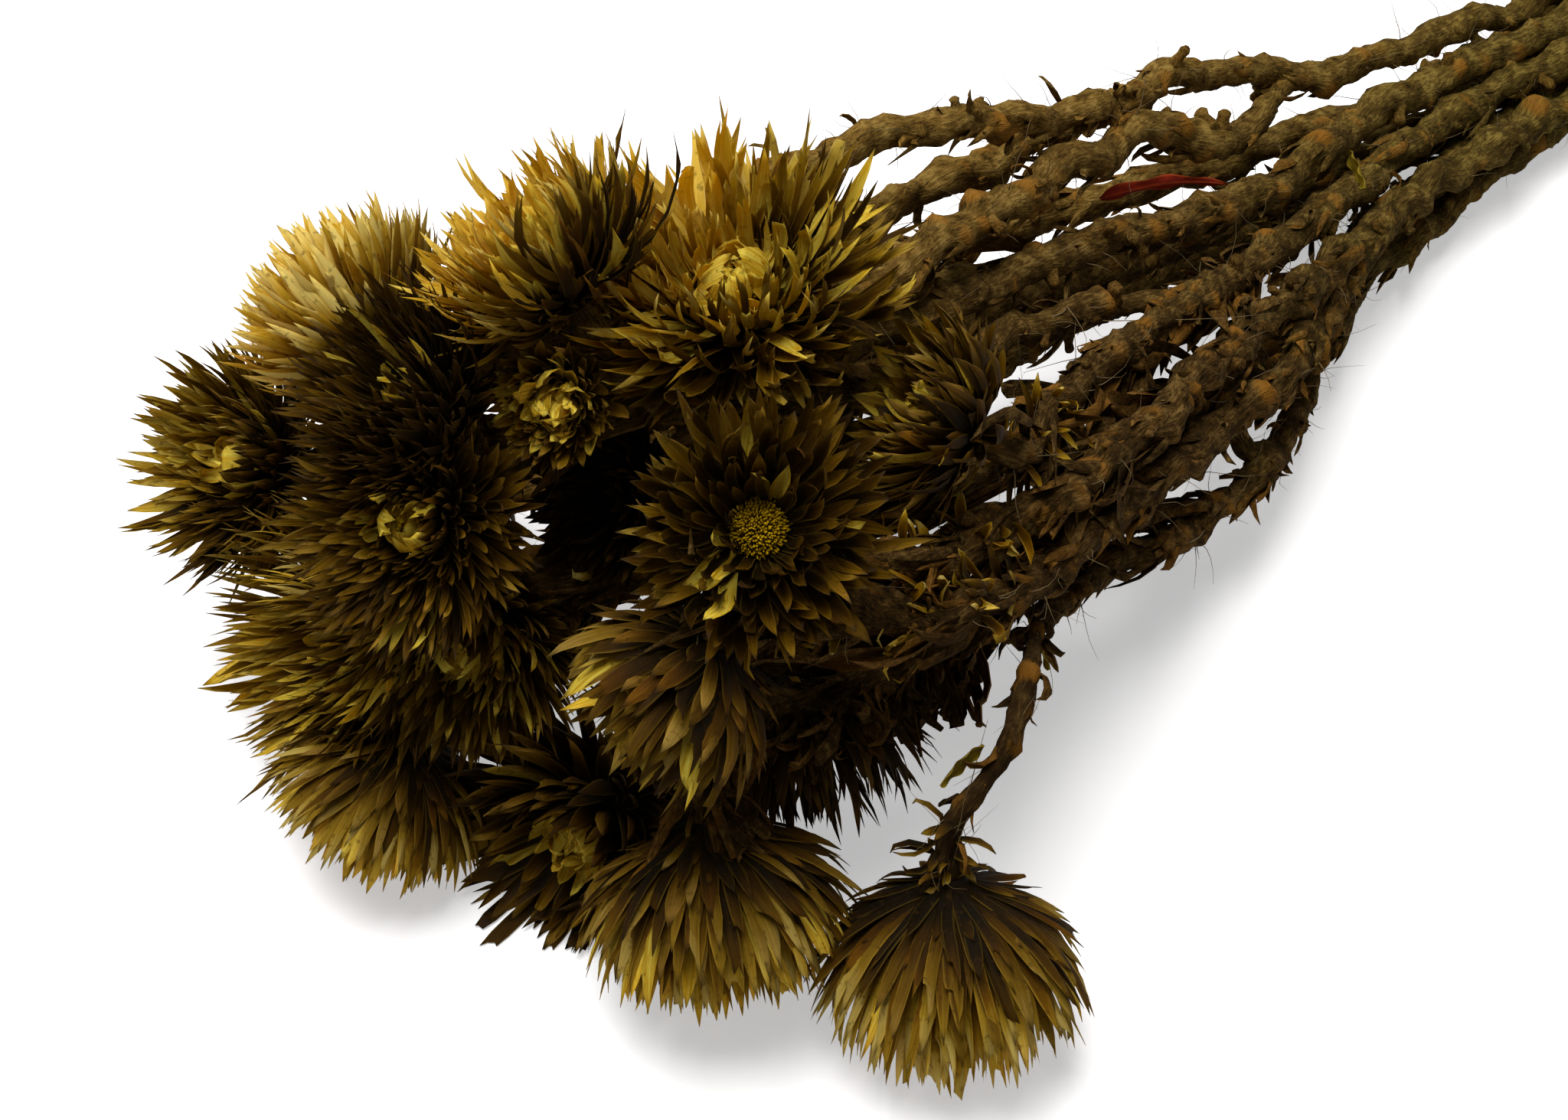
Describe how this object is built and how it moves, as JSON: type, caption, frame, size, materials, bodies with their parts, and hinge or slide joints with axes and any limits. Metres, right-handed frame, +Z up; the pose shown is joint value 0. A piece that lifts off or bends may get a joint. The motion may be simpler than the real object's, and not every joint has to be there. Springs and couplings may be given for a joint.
{
  "type": "dried cape flower bunch",
  "caption": "Tied bunch of dried everlasting flowers lying on its side: knobbly woolly stems fanning out from a band to cup-shaped heads of pointed papery bracts.",
  "frame": {"origin": "centre of the bounding box's bottom face, on the surface the bunch lies on", "axes": "+X along the bunch towards the cut stem ends, -X towards the flower heads, +Z up from the surface, +Y to the left of someone looking along +X"},
  "size_m": [0.392, 0.173, 0.1174],
  "materials": {
    "stem": "felted, matte, olive green turning brown towards the heads",
    "bract": "dry, papery, olive tan outside and golden yellow inside",
    "floret": "fuzzy golden yellow cushion",
    "green_leaf": "dry, matte, yellow green",
    "red_leaf": "dry, matte, red brown",
    "band": "smooth tan rubber"
  },
  "bodies": {
    "root": {"band": "band", "branch_back": "stem", "branch_core": "stem", "branch_crest": "stem", "branch_curl": "stem", "branch_far": "stem", "branch_floor": "stem", "branch_hook": "stem", "branch_middle": "stem", "branch_near": "stem", "branch_ridge": "stem", "branch_under": "stem", "bud_needle": "bract", "bud_small": "bract", "disc_02": "floret", "disc_03": "floret", "disc_05": "floret", "disc_06": "floret", "disc_07": "floret", "disc_08": "floret", "disc_09": "floret", "disc_11": "floret", "disc_12": "floret", "disc_14": "floret", "head_01": "bract", "head_02": "bract", "head_03": "bract", "head_04": "bract", "head_05": "bract", "head_06": "bract", "head_07": "bract", "head_08": "bract", "head_09": "bract", "head_10": "bract", "head_11": "bract", "head_12": "bract", "head_13": "bract", "head_14": "bract", "head_15": "bract", "head_16": "bract", "head_17": "bract", "head_18": "bract", "head_19": "bract", "head_20": "bract", "head_21": "bract", "leaf_curled": "green_leaf", "leaf_green": "green_leaf", "leaf_hanging": "green_leaf", "leaf_red": "red_leaf", "stem_back": "stem", "stem_core": "stem", "stem_far": "stem", "stem_floor": "stem", "stem_low": "stem", "stem_middle": "stem", "stem_near": "stem", "stem_ridge": "stem", "stem_top": "stem", "stem_under": "stem"}
  },
  "joints": []
}
